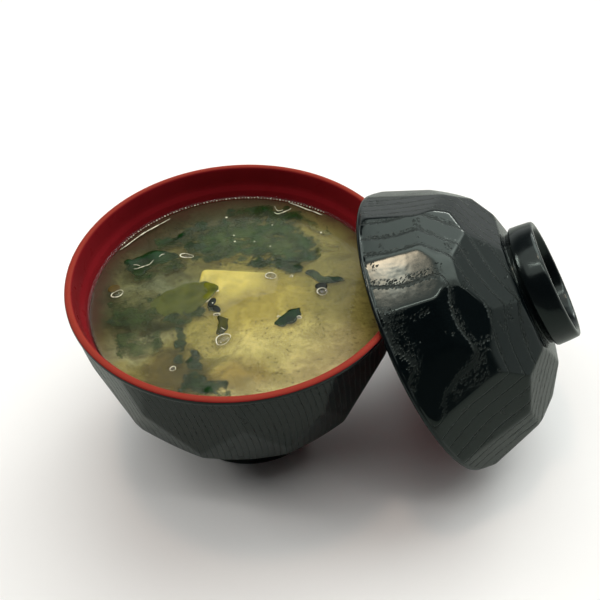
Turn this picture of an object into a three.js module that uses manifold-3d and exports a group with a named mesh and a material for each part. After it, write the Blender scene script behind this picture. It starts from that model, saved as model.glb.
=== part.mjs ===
// Miso soup in a wooden bowl with facet-carved sides; its own lid stands on the table and leans on the bowl.
// Millimetres, +Z up. The table is z = 0 and the bowl and lid both stand on it.
import * as THREE from 'three';
import { RoundedBoxGeometry } from 'three/addons/geometries/RoundedBoxGeometry.js';
import { mergeVertices } from 'three/addons/utils/BufferGeometryUtils.js';
import Module from 'manifold-3d';

const wasm = await Module();
wasm.setup();

const SEGMENTS = 60;
const GAP = 0.3;
const CUT_SIZE = 300;
const CUT_DEPTH = 60;

// ---- bowl ----
const BOWL_R = 54.85;
const BOWL_H = 74.65;
const LIP_W = 2.4;
const BAND_H = 2.0;
const BAND_STEP = 0.5;
const FLATS = 12;
const FLAT_TURN = -81;
const FOOT_R = 29.5;
const FOOT_IN = 26;
const FOOT_H = 13.3;
const RECESS_H = 8.5;
const LEDGE_D = 7.3;
const FLOOR_D = 60.5;
// Each row of flats: slope of the outward normal from straight down, and the radius and the depth under the rim
// that it passes through.
const WALL_ROW = { slope: 84, radius: 53.05, depth: 3 };
const BELLY_ROW = { slope: 74, radius: 48, depth: 36 };
const UNDER_ROW = { slope: 45, radius: 44.8, depth: 45.8 };
const CARVE_TURN = 1.6;
const CARVE_REACH = 0.35;

// ---- lid ----
const LID_R = 51;
const LID_LIP_IN = 48.8;
const LID_BAND_H = 1.5;
const KNOB_R = 20.8;
const KNOB_NECK_R = 19.4;
const KNOB_NECK_H = 38.3;
const KNOB_TOP = 46.2;
const KNOB_IN = 17.4;
const KNOB_FLOOR = 38.6;
// Where the lid stands: centre of its mouth and the way its knob points.
const LID_X = 64.3;
const LID_Y = -9.8;
const LID_TURN = -9.05;
const LID_RISE = 32.4;

// ---- soup ----
const LEVEL_D = 12.3;
const MENISCUS = 0.6;
const LEVEL_R = 50.2;
const LEVEL = BOWL_H - LEVEL_D;

const COLOUR = { lacquer: 0x12100f, lid: 0x0b0f12, broth: 0xa99e60, curd: 0xe0d08a, seaweed: 0x2f4a2c };

const rad = THREE.MathUtils.degToRad;

// Profile points [radius, height] spun round the Z axis.
function turned(profile) {
  const points = profile.map(([radius, height]) => new THREE.Vector2(radius, height));
  return new THREE.LatheGeometry(points, SEGMENTS).rotateX(Math.PI / 2);
}

// A boolean solid from a closed geometry, without the slivers that a lathe leaves on its axis.
function toSolid(geometry) {
  const bare = geometry.clone();
  bare.deleteAttribute('normal');
  bare.deleteAttribute('uv');
  const merged = mergeVertices(bare, 1e-4);
  const corners = merged.index.array;
  const kept = [];
  for (let i = 0; i < corners.length; i += 3) {
    const [a, b, c] = [corners[i], corners[i + 1], corners[i + 2]];
    if (a !== b && b !== c && a !== c) kept.push(a, b, c);
  }
  return new wasm.Manifold(new wasm.Mesh({
    numProp: 3,
    vertProperties: Float32Array.from(merged.attributes.position.array),
    triVerts: Uint32Array.from(kept),
  }));
}

function toMesh(name, solid, colour, roughness) {
  const data = solid.getMesh();
  const geometry = new THREE.BufferGeometry();
  geometry.setAttribute('position', new THREE.BufferAttribute(Float32Array.from(data.vertProperties), 3));
  geometry.setIndex(new THREE.BufferAttribute(Uint32Array.from(data.triVerts), 1));
  geometry.computeVertexNormals();
  const material = new THREE.MeshStandardMaterial({ color: colour, roughness, metalness: 0 });
  material.name = `${name}_finish`;
  const mesh = new THREE.Mesh(geometry, material);
  mesh.name = name;
  return mesh;
}

// A straight knife cut: all that lies beyond a plane. The normal leans `slope` from +Z towards `azimuth`.
function knifeCut(azimuth, slope, reach) {
  const block = new THREE.BoxGeometry(CUT_SIZE, CUT_SIZE, CUT_DEPTH);
  block.translate(0, 0, CUT_DEPTH / 2 + reach);
  block.rotateY(rad(slope));
  block.rotateZ(rad(azimuth));
  return block;
}

// ---- the bowl: a turned blank, three rows of flats, then the hollow ----
const rimZ = (depth) => BOWL_H - depth;
const innerWall = [
  [BOWL_R - LIP_W - 0.05, 0.9], [52.1, 3], [51.8, 5.5], [51.5, LEDGE_D], [50.5, 9.2], [LEVEL_R, LEVEL_D],
  [48.2, 20], [47, 28], [44.7, 35], [41.7, 41.5], [38.2, 46], [35.2, 50], [30.8, 54], [24, 57.2], [15, 59.3],
  [0, FLOOR_D],
];

function bowlSolid() {
  const blank = turned([
    [0, 5], [FOOT_R - 1, 5], [FOOT_R, 9], [37.7, rimZ(55)], [48.1, rimZ(45)], [52, rimZ(34)],
    [53.5, rimZ(20)], [54.1, rimZ(10)], [54.4, rimZ(BAND_H + BAND_STEP)], [53.2, rimZ(0.4)], [0, rimZ(0.4)],
  ]);
  let body = toSolid(blank);
  const pitch = 360 / FLATS;
  [WALL_ROW, BELLY_ROW, UNDER_ROW].forEach((row, level) => {
    for (let k = 0; k < FLATS; k += 1) {
      const wobble = Math.sin(2.4 * k + 1.7 * level);
      const azimuth = FLAT_TURN + pitch * (k + (level % 2) / 2) + CARVE_TURN * wobble;
      const slope = 180 - row.slope;
      const lift = Math.cos(rad(slope)) * rimZ(row.depth);
      const reach = Math.sin(rad(slope)) * row.radius + lift + CARVE_REACH * Math.cos(3.1 * k + level);
      body = body.subtract(toSolid(knifeCut(azimuth, slope, reach)));
    }
  });
  const band = turned([
    [50, rimZ(0.05)], [50, rimZ(BAND_H + 0.6)], [54.2, rimZ(BAND_H + 0.4)], [BOWL_R - 0.1, rimZ(BAND_H)],
    [BOWL_R, rimZ(1.2)], [BOWL_R - 0.2, rimZ(0.5)], [BOWL_R - 0.6, rimZ(0.12)], [BOWL_R - 1.1, rimZ(0)],
    [BOWL_R - 1.6, rimZ(0.04)], [50, rimZ(0.05)],
  ]);
  const foot = turned([
    [0, RECESS_H - 2], [FOOT_IN - 1, RECESS_H - 2], [FOOT_IN, 0.6], [FOOT_IN + 0.6, 0], [FOOT_R - 0.7, 0],
    [FOOT_R, 0.7], [FOOT_R - 0.6, FOOT_H], [FOOT_R - 1, FOOT_H + 4], [0, FOOT_H + 4],
  ]);
  const recess = turned([
    [0, -1], [FOOT_IN, -1], [FOOT_IN - 0.6, RECESS_H - 1], [FOOT_IN - 2, RECESS_H], [0, RECESS_H],
  ]);
  const hollow = turned([
    ...innerWall.map(([radius, depth]) => [radius, rimZ(depth)]).reverse(),
    [BOWL_R - LIP_W + 0.25, rimZ(0.35)], [BOWL_R - LIP_W + 0.7, rimZ(0.04)],
    [BOWL_R - LIP_W + 0.7, rimZ(-1)], [0, rimZ(-1)],
  ]);
  body = body.add(toSolid(band)).add(toSolid(foot));
  return body.subtract(toSolid(recess)).subtract(toSolid(hollow));
}

// ---- the lid in its own frame: mouth on z = 0, knob up, azimuth 0 at the part of the rim that ends uppermost ----
// Each flat: [azimuth, slope of its normal from the knob's axis, distance from the centre of the mouth].
const LID_SKIRT = [
  [-20, 66.5, 47], [5.7, 68.5, 47.6], [23.1, 67.3, 47], [44.6, 67.1, 47], [61.6, 65.5, 46.7],
  [90.5, 62.7, 45.3], [106.9, 65.3, 46.6],
];
const LID_SHOULDER = [[6.8, 51.1, 45.5], [24.3, 49.3, 45.5], [44.3, 50.9, 44.8], [59.3, 58, 46.4]];
const LID_CROWN = [[-9.1, 30.8, 42.7], [25.9, 34.4, 42.2], [58.6, 35.4, 42.9], [112.5, 35.7, 43.4]];
// The flats on the far side carry on at an even pitch: [first azimuth, pitch, count, slope, distance].
const LID_FAR = [[138.6, 23.5, 9, 67.3, 47.6], [146.5, 24.6, 9, 52.5, 46.9], [163, 42.4, 4, 33, 43.2]];

function lidSolid() {
  const blank = turned([
    [0, 0.1], [49.8, 0.1], [51, LID_BAND_H], [50.8, 8], [48.9, 16], [45.4, 24], [39.4, 31], [30.3, 35.8],
    [24, 36.5], [19, 36.8], [0, 36.8],
  ]);
  const flats = [...LID_SKIRT, ...LID_SHOULDER, ...LID_CROWN];
  LID_FAR.forEach(([first, step, count, slope, reach]) => {
    for (let k = 0; k < count; k += 1) {
      flats.push([first + step * k, slope + Math.sin(2.1 * k), reach + 0.25 * Math.cos(1.9 * k)]);
    }
  });
  let body = toSolid(blank);
  flats.forEach(([azimuth, slope, reach]) => {
    body = body.subtract(toSolid(knifeCut(azimuth, slope, reach)));
  });
  const band = turned([
    [48, 0.05], [LID_R - 1.2, 0], [LID_R - 0.5, 0.12], [LID_R - 0.1, 0.5], [LID_R, 0.9],
    [LID_R - 0.1, LID_BAND_H], [48, LID_BAND_H + 0.6], [48, 0.05],
  ]);
  const knob = turned([
    [0, 33], [KNOB_NECK_R, 33], [KNOB_NECK_R, KNOB_NECK_H], [KNOB_R - 0.3, KNOB_NECK_H + 0.15],
    [KNOB_R, KNOB_NECK_H + 0.8], [KNOB_R - 0.6, KNOB_TOP - 0.8], [KNOB_R - 0.9, KNOB_TOP - 0.2],
    [KNOB_R - 1.5, KNOB_TOP], [0, KNOB_TOP],
  ]);
  const knobHollow = turned([
    [0, KNOB_FLOOR], [KNOB_IN - 1.4, KNOB_FLOOR], [KNOB_IN - 0.4, KNOB_FLOOR + 0.9],
    [KNOB_IN, KNOB_TOP - 1], [KNOB_IN + 0.3, KNOB_TOP - 0.2], [KNOB_IN + 0.9, KNOB_TOP],
    [KNOB_IN + 0.9, KNOB_TOP + 1], [0, KNOB_TOP + 1],
  ]);
  const hollow = turned([
    [0, -1], [LID_LIP_IN + 0.7, -1], [LID_LIP_IN + 0.7, 0.05], [LID_LIP_IN + 0.15, 0.5],
    [LID_LIP_IN - 0.9, 3], [45.3, 8], [41.6, 16], [35.6, 24], [30.8, 28], [23, 31.6], [13, 33.8], [0, 34.6],
  ]);
  body = body.add(toSolid(band)).add(toSolid(knob));
  return body.subtract(toSolid(hollow)).subtract(toSolid(knobHollow));
}

// Stands the lid on the lowest point of its rim, leaning with its mouth against the bowl.
function placeLid(mesh) {
  const axis = new THREE.Vector3(Math.cos(rad(LID_TURN)), Math.sin(rad(LID_TURN)), Math.tan(rad(LID_RISE)));
  axis.normalize();
  const top = new THREE.Vector3(0, 0, 1).addScaledVector(axis, -axis.z).normalize();
  const side = new THREE.Vector3().crossVectors(axis, top);
  mesh.quaternion.setFromRotationMatrix(new THREE.Matrix4().makeBasis(top, side, axis));
  mesh.position.set(LID_X, LID_Y, 0);
  mesh.position.z = -new THREE.Box3().setFromObject(mesh, true).min.z;
}

// ---- leaves of seaweed: thin wavy sheets that float at the level of the broth ----
const LEAF_THICK = 0.7;
const LEAF_LIFT = 0.3;
const LEAF_WAVE = 0.25;
const POCKET_GROW = 0.62;
const POCKET_TOP = 6;

// Points along the near and the far edge of a leaf, left to right.
const LEAVES = {
  wakame_fan: {
    near: [[-17, 27], [-13, 20.5], [-7, 15.5], [2, 12], [13, 9.6], [23, 8.4], [29.6, 12]],
    far: [[-16.6, 28.4], [-10.2, 34.6], [1.4, 41], [9, 40.6], [17, 41.6], [26, 32.5], [30.4, 17]],
    steps: 14,
    across: 6,
  },
  wakame_left: {
    near: [[-39, 17.2], [-33.8, 12.8], [-30.2, 14.6], [-25, 17.8], [-19.8, 20.2]],
    far: [[-39.2, 20.2], [-35.6, 21.6], [-31, 23.6], [-26.8, 24.4], [-20.4, 21.8]],
  },
  wakame_olive: {
    near: [[-30.2, -2.4], [-25.2, -6.4], [-20.3, -7.3], [-15.3, -6.3], [-12, -4.4], [-7, 1.4]],
    far: [[-30.2, 2.2], [-23.5, 5], [-18.3, 6.6], [-13.3, 6.3], [-9.8, 5.2], [-7, 2.8]],
    lift: 0.65,
  },
  wakame_scrap: {
    near: [[-7.2, -19], [-5.4, -16.8], [-4.7, -12.8]],
    far: [[-8.9, -18.6], [-8.4, -15], [-7.8, -10.8]],
    steps: 6,
    across: 3,
  },
  wakame_front: {
    near: [[9.6, -17.6], [12.5, -18.3], [16.6, -16.7], [18.9, -14.6]],
    far: [[9.8, -16.4], [12.6, -14.1], [16, -11.6], [18.7, -11.8]],
    steps: 8,
    across: 4,
  },
  wakame_tip: {
    near: [[22.4, 5.2], [24.6, 2.6], [28, -1.4], [32.4, -1.6], [36, -0.9]],
    far: [[23.4, 6.2], [26.4, 6], [28.8, 2.6], [31.6, 1.6], [36, 0.3]],
    steps: 10,
    across: 3,
  },
  wakame_ribbon: {
    near: [[-27.6, 27.4], [-24.6, 27.8], [-21, 28.6], [-17.4, 31]],
    far: [[-27.6, 28.6], [-24.8, 30], [-21.4, 30.6], [-17.9, 32.6]],
    steps: 8,
    across: 3,
  },
};

// Rows of plan points across a leaf, grown outward by `grow` at its edges and its ends.
function leafRows({ near, far, steps = 10, across = 4 }, grow = 0) {
  const curve = (edge) => new THREE.SplineCurve(edge.map(([x, y]) => new THREE.Vector2(x, y)));
  const lines = [curve(near), curve(far)];
  const rows = [];
  for (let i = 0; i <= steps; i += 1) {
    const [a, b] = lines.map((line) => line.getPoint(i / steps));
    const out = b.clone().sub(a).setLength(grow);
    const end = lines[0].getTangent(i / steps).setLength(i === 0 ? -grow : 0);
    if (i === steps) end.copy(lines[0].getTangent(1)).setLength(grow);
    a.sub(out).add(end);
    b.add(out).add(end);
    rows.push(Array.from({ length: across + 1 }, (_, j) => a.clone().lerp(b, j / across)));
  }
  return rows;
}

// A closed sheet over rows of plan points: `top` and `under` give the two heights at a point.
function sheet(rows, top, under) {
  const steps = rows.length - 1;
  const width = rows[0].length;
  const flat = rows.flat();
  const upper = flat.flatMap((p) => [p.x, p.y, top(p)]);
  const lower = flat.flatMap((p) => [p.x, p.y, under(p)]);
  const below = flat.length;
  const index = [];
  const quad = (a, b, c, d) => index.push(a, b, c, a, c, d);
  for (let i = 0; i < steps; i += 1) {
    const first = i * width;
    const last = first + width - 1;
    for (let a = first; a < last; a += 1) {
      const c = a + below;
      quad(a, a + width, a + width + 1, a + 1);
      quad(c, c + 1, c + width + 1, c + width);
    }
    quad(first, first + below, first + width + below, first + width);
    quad(last, last + width, last + width + below, last + below);
  }
  for (let j = 0; j < width - 1; j += 1) {
    const end = steps * width + j;
    quad(j, j + 1, j + 1 + below, j + below);
    quad(end, end + below, end + 1 + below, end + 1);
  }
  const geometry = new THREE.BufferGeometry();
  geometry.setAttribute('position', new THREE.Float32BufferAttribute([...upper, ...lower], 3));
  geometry.setIndex(index);
  return geometry;
}

const ripple = (p) => Math.sin(0.42 * p.x + 1.3) * Math.cos(0.36 * p.y + 0.7);

function leafSolid(leaf) {
  const top = (p) => LEVEL + (leaf.lift ?? LEAF_LIFT) + LEAF_WAVE * ripple(p);
  return toSolid(sheet(leafRows(leaf), top, (p) => top(p) - LEAF_THICK));
}

function leafPocket(leaf) {
  const floor = LEVEL + (leaf.lift ?? LEAF_LIFT) - LEAF_WAVE - LEAF_THICK - GAP;
  return toSolid(sheet(leafRows(leaf, POCKET_GROW), () => LEVEL + POCKET_TOP, () => floor));
}

// ---- the piece of bean curd: a soft-cornered block whose far edge just breaks the surface ----
const CURD = { x: -1.5, y: -0.2, long: 27, wide: 20, tall: 14, corner: 1.1, turn: -14, dip: 8, sunk: 1.4 };

const curdBlock = () => new RoundedBoxGeometry(CURD.long, CURD.wide, CURD.tall, 1, CURD.corner)
  .translate(0, 0, -CURD.tall / 2);

function curdPocket() {
  const tall = CURD.tall + GAP + POCKET_TOP;
  return new THREE.BoxGeometry(CURD.long + 2 * GAP, CURD.wide + 2 * GAP, tall)
    .translate(0, 0, POCKET_TOP - tall / 2);
}

// Top face centre at the origin; the far long edge ends up highest.
function placeCurd(target) {
  target.position.set(CURD.x, CURD.y, LEVEL - CURD.sunk);
  target.rotation.set(rad(CURD.dip), 0, rad(CURD.turn), 'ZXY');
  target.updateMatrix();
  return target;
}

// ---- the broth: fills the hollow up to its level, climbs a little at the wall, with room for what floats ----
function soupSolid() {
  const wet = innerWall.filter(([, depth]) => depth > LEVEL_D);
  const wall = wet.map(([radius, depth]) => [Math.max(radius - GAP, 0), rimZ(depth) + GAP]);
  const edge = LEVEL_R - GAP;
  const rise = [[edge, LEVEL + MENISCUS], [edge - 0.8, LEVEL + 0.15], [edge - 1.9, LEVEL], [0, LEVEL]];
  return toSolid(turned([...wall.reverse(), ...rise]));
}

const group = new THREE.Group();
let soup = soupSolid();
const curd = placeCurd(new THREE.Object3D());
soup = soup.subtract(toSolid(curdPocket().applyMatrix4(curd.matrix)));
Object.entries(LEAVES).forEach(([name, leaf]) => {
  soup = soup.subtract(leafPocket(leaf));
  group.add(toMesh(name, leafSolid(leaf), COLOUR.seaweed, 0.35));
});
const tofu = placeCurd(toMesh('tofu', toSolid(curdBlock()), COLOUR.curd, 0.5));
const lid = toMesh('lid', lidSolid(), COLOUR.lid, 0.3);
placeLid(lid);
const bowl = toMesh('bowl', bowlSolid(), COLOUR.lacquer, 0.3);
group.add(bowl, toMesh('soup', soup, COLOUR.broth, 0.25), tofu, lid);

// The origin is the middle of the footprint, on the table.
const box = new THREE.Box3().setFromObject(group, true);
const middle = box.getCenter(new THREE.Vector3());
group.position.set(-middle.x, -middle.y, -box.min.z);

export default group;
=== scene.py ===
"""Miso soup in a facet-carved bowl, black lacquer outside and red inside, with its leaning lid."""
import math

import bpy
import numpy as np
from mathutils import Matrix, Vector


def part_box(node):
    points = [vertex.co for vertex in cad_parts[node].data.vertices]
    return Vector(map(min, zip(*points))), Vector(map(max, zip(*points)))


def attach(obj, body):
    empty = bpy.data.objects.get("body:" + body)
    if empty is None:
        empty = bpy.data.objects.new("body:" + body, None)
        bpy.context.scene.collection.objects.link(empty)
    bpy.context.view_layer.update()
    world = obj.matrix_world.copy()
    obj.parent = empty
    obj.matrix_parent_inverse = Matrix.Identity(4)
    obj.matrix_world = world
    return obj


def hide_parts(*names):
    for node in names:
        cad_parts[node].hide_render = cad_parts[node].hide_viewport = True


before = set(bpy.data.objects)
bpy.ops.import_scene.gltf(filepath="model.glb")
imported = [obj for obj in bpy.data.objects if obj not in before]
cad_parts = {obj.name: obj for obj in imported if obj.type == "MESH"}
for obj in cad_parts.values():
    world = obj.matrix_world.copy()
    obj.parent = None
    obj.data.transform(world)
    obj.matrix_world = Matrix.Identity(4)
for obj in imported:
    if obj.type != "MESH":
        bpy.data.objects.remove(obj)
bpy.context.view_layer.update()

MM = 0.001
rad = math.radians

# ---- sizes in millimetres and degrees, as the solids have them ----
BOWL_R, BOWL_H, BAND_H, RECESS_H = 54.85, 74.65, 2.0, 8.5
FLATS, FLAT_TURN, CARVE_TURN, CARVE_REACH = 12, -81, 1.6, 0.35
# Rows of flats on the bowl: slope, radius and depth under the rim of one point of them.
WALL_ROWS = ((84, 53.05, 3), (74, 48, 36), (45, 44.8, 45.8))
LEVEL_D, LEVEL_R, GAP, MENISCUS = 12.3, 50.2, 0.3, 0.6
LEVEL = BOWL_H - LEVEL_D
# The bowl's inner wall below the level: radius and depth under the rim.
INNER_WALL = ((LEVEL_R, LEVEL_D), (48.2, 20), (47, 28), (44.7, 35), (41.7, 41.5), (38.2, 46),
              (35.2, 50), (30.8, 54), (24, 57.2), (15, 59.3), (7, 60.3), (0.4, 60.5))
LID_X, LID_Y, LID_TURN, LID_RISE = 64.3, -9.8, -9.05, 32.4
# Flats on the lid that show: azimuth, slope and reach from the middle of its rim.
LID_SKIRT = ((-20, 66.5, 47), (5.7, 68.5, 47.6), (23.1, 67.3, 47), (44.6, 67.1, 47),
             (61.6, 65.5, 46.7), (90.5, 62.7, 45.3), (106.9, 65.3, 46.6))
LID_SHOULDER = ((6.8, 51.1, 45.5), (24.3, 49.3, 45.5), (44.3, 50.9, 44.8), (59.3, 58, 46.4))
LID_CROWN = ((-9.1, 30.8, 42.7), (25.9, 34.4, 42.2), (58.6, 35.4, 42.9), (112.5, 35.7, 43.4))
# Flats on its far side: first azimuth, step, count, slope, reach.
LID_FAR = ((138.6, 23.5, 9, 67.3, 47.6), (146.5, 24.6, 9, 52.5, 46.9), (163, 42.4, 4, 33, 43.2))

low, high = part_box("bowl")
BOWL_AXIS = ((low[0] + high[0]) / 2, (low[1] + high[1]) / 2)
AXIS_MM = np.array([BOWL_AXIS[0] / MM, BOWL_AXIS[1] / MM, 0])
STILL = (np.eye(3), AXIS_MM)
TURNS = 480  # points round a turned or carved ring


# ---- meshes from arrays ----
def mesh_object(name, points, faces, materials, slots=None):
    """An object at the origin whose mesh is the given points in metres and their faces."""
    mesh = bpy.data.meshes.new(name)
    mesh.from_pydata(points.tolist(), [], [tuple(f) for f in faces])
    for m in materials:
        mesh.materials.append(m)
    if slots is not None:
        mesh.polygons.foreach_set("material_index", np.asarray(slots, dtype=np.int32))
    mesh.polygons.foreach_set("use_smooth", np.ones(len(mesh.polygons), dtype=bool))
    mesh.update()
    obj = bpy.data.objects.new(name, mesh)
    bpy.context.scene.collection.objects.link(obj)
    return obj


def ring_faces(rows, cols, wrap=True):
    """Quads of a grid whose rows are rings; a wrapped ring joins its last point to its first."""
    i, j = np.meshgrid(np.arange(rows - 1), np.arange(cols if wrap else cols - 1), indexing="ij")
    a, b = i * cols + j, i * cols + (j + 1) % cols
    return np.stack([a, b, b + cols, a + cols], -1).reshape(-1, 4)


def faces_outward(points, quads, others=()):
    """The faces, all turned round where the volume inside the quads comes out negative."""
    a, b, c, d = points[quads].transpose(1, 0, 2)
    volume = (np.cross(a, b) * c).sum() + (np.cross(a, c) * d).sum()
    faces = quads.tolist() + list(others)
    return [f[::-1] for f in faces] if volume < 0 else faces


def spun(name, rings, materials, ring_slots=None, place=STILL):
    """A closed surface from stacked rings; its first and last ring are drawn to a point."""
    rows, cols = rings.shape[:2]
    if ring_slots is None:
        ring_slots = [0] * (rows - 1)
    points = np.concatenate([rings.reshape(-1, 3), [rings[0].mean(0), rings[-1].mean(0)]])
    pole, last = rows * cols, (rows - 1) * cols
    k = np.arange(cols)
    ahead = (k + 1) % cols
    fans = [np.stack([ahead, k, np.full(cols, pole)], -1),
            np.stack([last + k, last + ahead, np.full(cols, pole + 1)], -1)]
    faces = faces_outward(points, ring_faces(rows, cols), np.concatenate(fans).tolist())
    slots = np.repeat([*ring_slots, ring_slots[0], ring_slots[-1]], cols)
    points = points @ place[0].T + place[1]
    return mesh_object(name, points * MM, faces, materials, slots)


def slab(x, y, top, under):
    """Points and quads of a closed sheet over a grid of x and y, between two heights."""
    rows, cols = x.shape
    n = rows * cols
    points = np.concatenate([np.stack([x, y, z], -1).reshape(-1, 3) for z in (top, under)])
    upper = ring_faces(rows, cols, wrap=False)
    index = np.arange(n).reshape(rows, cols)
    loop = np.concatenate([index[0], index[1:, -1], index[-1, -2::-1], index[-2:0:-1, 0]])
    after = np.roll(loop, -1)
    sides = np.stack([after, loop, loop + n, after + n], -1)
    return points, np.concatenate([upper, upper[:, ::-1] + n, sides])


def joined(name, parts, materials, part_slots=None):
    """One object from several closed sets of points and quads, in mm about the bowl's axis."""
    points, faces, slots, start = [], [], [], 0
    for spots, quads in parts:
        faces += [[k + start for k in f] for f in faces_outward(spots, quads)]
        slots += [part_slots[len(points)] if part_slots else 0] * len(quads)
        points.append(spots + AXIS_MM)
        start += len(spots)
    return mesh_object(name, np.concatenate(points) * MM, faces, materials, slots)


def ripples(x, y, seed, wave, count=7):
    """A smooth uneven field, mostly within -1 to 1: plane waves of seeded ways and lengths."""
    rng = np.random.default_rng(seed)
    turns, phases = rng.uniform(0, 7, count), rng.uniform(0, 7, count)
    total = np.zeros(np.broadcast(x, y).shape)
    for turn, phase, stretch in zip(turns, phases, rng.uniform(0.6, 1.5, count)):
        run = (x * math.cos(turn) + y * math.sin(turn)) * 2 * np.pi / (wave * stretch)
        total += np.sin(run + phase)
    return total / math.sqrt(2 * count)


def ease(value, a, b):
    """0 before a, 1 after b, and 3 k^2 - 2 k^3 between them."""
    k = np.clip((value - a) / (b - a), 0, 1)
    return k ** 2 * (3 - 2 * k)


def smooth_line(profile, step):
    """A Catmull-Rom curve through profile points, resampled about every `step` of its length."""
    p = np.asarray(profile, dtype=float)
    ends = np.concatenate([[2 * p[0] - p[1]], p, [2 * p[-1] - p[-2]]])
    out = []
    for a, b, c, d in zip(ends[:-3], ends[1:-2], ends[2:-1], ends[3:]):
        count = max(2, int(np.linalg.norm(c - b) / step) + 1)
        t = np.linspace(0, 1, count, endpoint=False)[:, None]
        bend, twist = 2 * a - 5 * b + 4 * c - d, 3 * b - a - 3 * c + d
        out.append(0.5 * (2 * b + (c - a) * t + bend * t**2 + twist * t**3))
    return np.concatenate(out + [p[-1:]])


def even_line(points, count):
    """A number of points at equal steps along a smooth line."""
    line = smooth_line(points, 0.5)
    run = np.concatenate([[0], np.cumsum(np.linalg.norm(np.diff(line, axis=0), axis=1))])
    at = np.linspace(0, run[-1], count)
    return np.stack([np.interp(at, run, line[:, k]) for k in range(line.shape[1])], -1)


def turned_rings(profile, turns=TURNS):
    """Rings of radius and height: (r cos t, r sin t, h)."""
    t = np.linspace(0, 2 * np.pi, turns, endpoint=False)
    p = np.asarray(profile, dtype=float)
    return np.stack([p[:, :1] * np.cos(t), p[:, :1] * np.sin(t), p[:, 1:] * np.ones_like(t)], -1)


SHARPNESS = 0.11  # k of the soft minimum: how far two flats blend where they meet
GRAZING, FAR, MIDWAY = 0.05, 1e4, 30  # least facing that counts, a way beyond all, a usual way


def nearness(facing, height):
    """exp(-d / k) of a plane, d being the way to it along each ray, and far where it faces away."""
    way = np.where(facing > GRAZING, height / np.maximum(facing, GRAZING), FAR)
    return np.exp(-(way - MIDWAY) / SHARPNESS)


def carved_rings(aims, eye, flats, blank):
    """Rings of a body cut flat by knife. Each ray from the eye on the axis ends at the nearest of
    the flats and of the turned blank's cones, by a soft minimum -k log(sum(exp(-d / k))) that
    rounds the edges."""
    t = np.linspace(0, 2 * np.pi, TURNS, endpoint=False)
    aim = np.asarray(aims, dtype=float) - (0, eye)
    aim /= np.linalg.norm(aim, axis=1, keepdims=True)
    ray = turned_rings(aim)
    total = np.zeros(ray.shape[:2])
    for azimuth, slope, reach in flats:
        s, a = rad(slope), rad(azimuth)
        normal = np.array([math.sin(s) * math.cos(a), math.sin(s) * math.sin(a), math.cos(s)])
        total += nearness(ray @ normal, reach - normal[2] * eye)
    for (r0, h0), (r1, h1) in zip(blank[:-1], blank[1:]):
        normal = np.array([h1 - h0, r0 - r1]) / math.hypot(h1 - h0, r1 - r0)
        if normal @ (r0, h0 - eye) < 0:
            normal = -normal
        total += nearness(aim @ normal, normal @ (r0, h0 - eye))[:, None]
    way = MIDWAY - SHARPNESS * np.log(total)
    return ray * way[..., None] + (0, 0, eye)


# ---- shader helpers ----
def wire(tree, socket, value):
    """Links a socket from another one, or gives it a plain value."""
    if isinstance(value, bpy.types.NodeSocket):
        tree.links.new(value, socket)
    else:
        socket.default_value = value


def feed(tree, target, **ins):
    """Wires a node's inputs by their names, with _ for a space."""
    for key, value in ins.items():
        wire(tree, target.inputs[key.replace("_", " ")], value)


def node(tree, kind, ins=None, **props):
    """A node with its properties set and its inputs wired."""
    made = tree.nodes.new(kind)
    for key, value in props.items():
        setattr(made, key, value)
    for key, value in (ins or {}).items():
        wire(tree, made.inputs[key], value)
    return made


def maths(tree, operation, *values):
    return node(tree, "ShaderNodeMath", dict(enumerate(values)), operation=operation).outputs[0]


def times(tree, a, b):
    return maths(tree, "MULTIPLY", a, b)


def vector_maths(tree, operation, *values):
    made = node(tree, "ShaderNodeVectorMath", dict(enumerate(values)), operation=operation)
    return made.outputs["Value" if operation in ("DOT_PRODUCT", "LENGTH", "DISTANCE") else "Vector"]


def scaled(tree, vector, by):
    made = node(tree, "ShaderNodeVectorMath", {0: vector, "Scale": by}, operation="SCALE")
    return made.outputs["Vector"]


def part(tree, vector, axis):
    return node(tree, "ShaderNodeSeparateXYZ", {0: vector}).outputs[axis]


def remap(tree, value, a, b, c=0.0, d=1.0, kind="SMOOTHSTEP"):
    """c before a, d after b, and eased or straight between them."""
    ins = {"Value": value, "From Min": a, "From Max": b, "To Min": c, "To Max": d}
    return node(tree, "ShaderNodeMapRange", ins, interpolation_type=kind).outputs["Result"]


def noise(tree, vector, scale, detail=3.0, rough=0.5, give="Fac"):
    """Noise with `scale` waves in a metre and `detail` finer layers."""
    ins = {"Vector": vector, "Scale": scale, "Detail": detail, "Roughness": rough}
    return node(tree, "ShaderNodeTexNoise", ins).outputs[give]


def drifting(tree, place, scale, detail, least, most):
    """A value that drifts between two others with a noise."""
    return remap(tree, noise(tree, place, scale, detail), 0.3, 0.7, least, most)


def blend(tree, amount, a, b):
    """A mix of two colours."""
    return node(tree, "ShaderNodeMix", {0: amount, 6: a, 7: b}, data_type="RGBA").outputs[2]


def bumped(tree, height, distance, **more):
    """A normal that leans with a height of 0 to 1, which stands for `distance` metres."""
    ins = {"Height": height, "Distance": distance, **more}
    return node(tree, "ShaderNodeBump", ins).outputs["Normal"]


def about_axis(tree, place, tall=0.0):
    """The place as seen from the bowl's axis, with its height drawn in to a part of it."""
    spot = vector_maths(tree, "SUBTRACT", place, (*BOWL_AXIS, 0))
    return vector_maths(tree, "MULTIPLY", spot, (1, 1, tall))


def srgb(red, green, blue):
    """A linear colour from screen values of 0 to 255."""
    tone = [c / 255 for c in (red, green, blue)]
    return (*(c / 12.92 if c <= 0.04045 else ((c + 0.055) / 1.055) ** 2.4 for c in tone), 1)


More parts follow.
